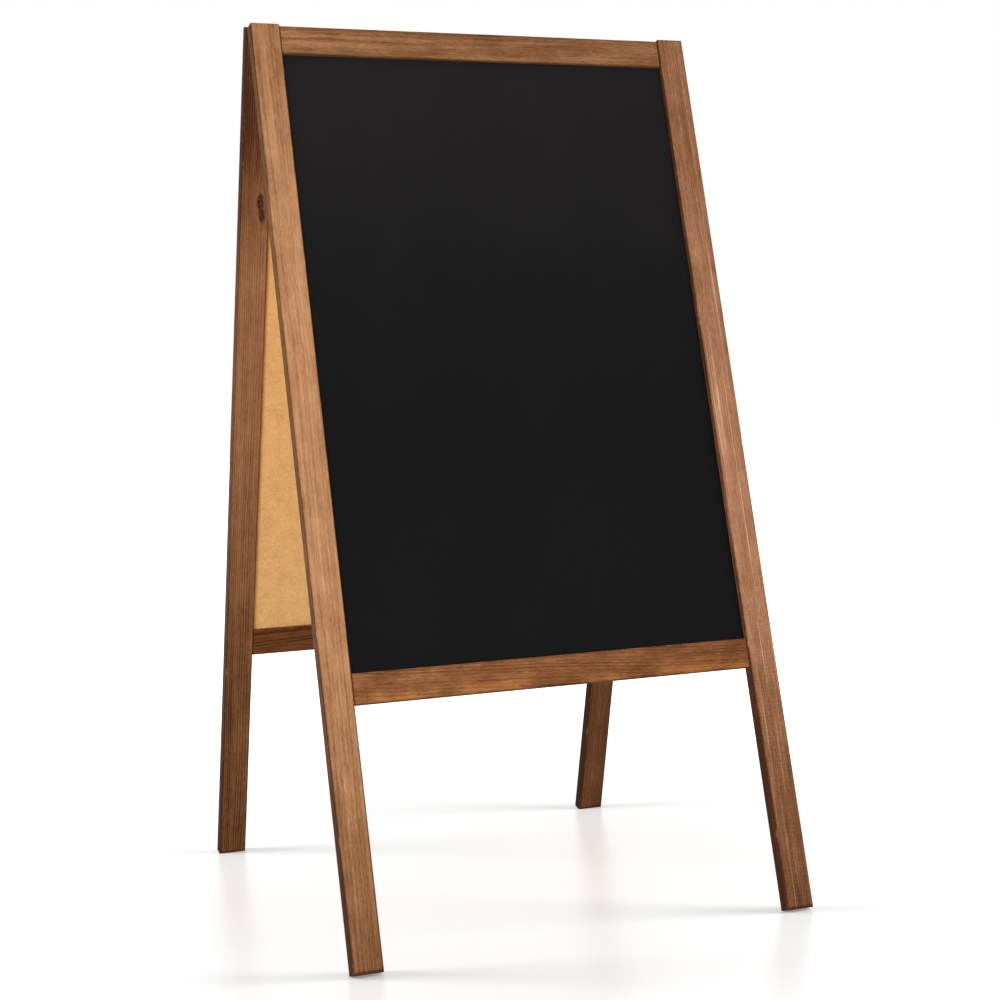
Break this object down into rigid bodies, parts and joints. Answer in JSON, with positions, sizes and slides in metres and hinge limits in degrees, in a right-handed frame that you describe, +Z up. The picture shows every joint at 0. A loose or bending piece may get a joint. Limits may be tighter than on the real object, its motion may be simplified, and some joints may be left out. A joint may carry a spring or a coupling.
{
  "type": "sandwich board",
  "caption": "Folding A-frame pavement chalkboard: two wooden framed writing boards hinged together along their tops.",
  "frame": {"origin": "on the ground, midway between the four feet and below the hinge pins", "axes": "+Z up; the hinge axis runs along X; the front board stands towards -Y and the rear board towards +Y"},
  "size_m": [0.61, 0.6656, 1.1405],
  "materials": {
    "stained_wood_light": "brown stain and satin varnish over softwood",
    "stained_wood_red": "reddish brown stain and satin varnish over softwood",
    "stained_wood_dark": "darker brown stain and satin varnish over softwood",
    "chalkboard": "matt black writing surface on raw tan hardboard",
    "beech_dowel": "raw beech, glued in",
    "zinc_steel": "bright zinc plate"
  },
  "bodies": {
    "front_board": {"front_left_stile": "stained_wood_light", "front_right_stile": "stained_wood_red", "front_top_rail": "stained_wood_light", "front_bottom_rail": "stained_wood_light", "front_panel": "chalkboard", "front_dowels": "beech_dowel", "left_hinge_front_leaf": "zinc_steel", "left_hinge_pin": "zinc_steel", "right_hinge_front_leaf": "zinc_steel", "right_hinge_pin": "zinc_steel", "front_hinge_screws": "zinc_steel"},
    "rear_board": {"rear_left_stile": "stained_wood_dark", "rear_right_stile": "stained_wood_dark", "rear_top_rail": "stained_wood_light", "rear_bottom_rail": "stained_wood_light", "rear_panel": "chalkboard", "rear_dowels": "beech_dowel", "left_hinge_rear_leaf": "zinc_steel", "right_hinge_rear_leaf": "zinc_steel", "rear_hinge_screws": "zinc_steel"}
  },
  "joints": [
    {"name": "fold", "type": "hinge", "parent": "front_board", "child": "rear_board", "pos_m": [0, 0, 1.13105], "axis": [-1, 0, 0], "range_deg": [0, 31]}
  ]
}
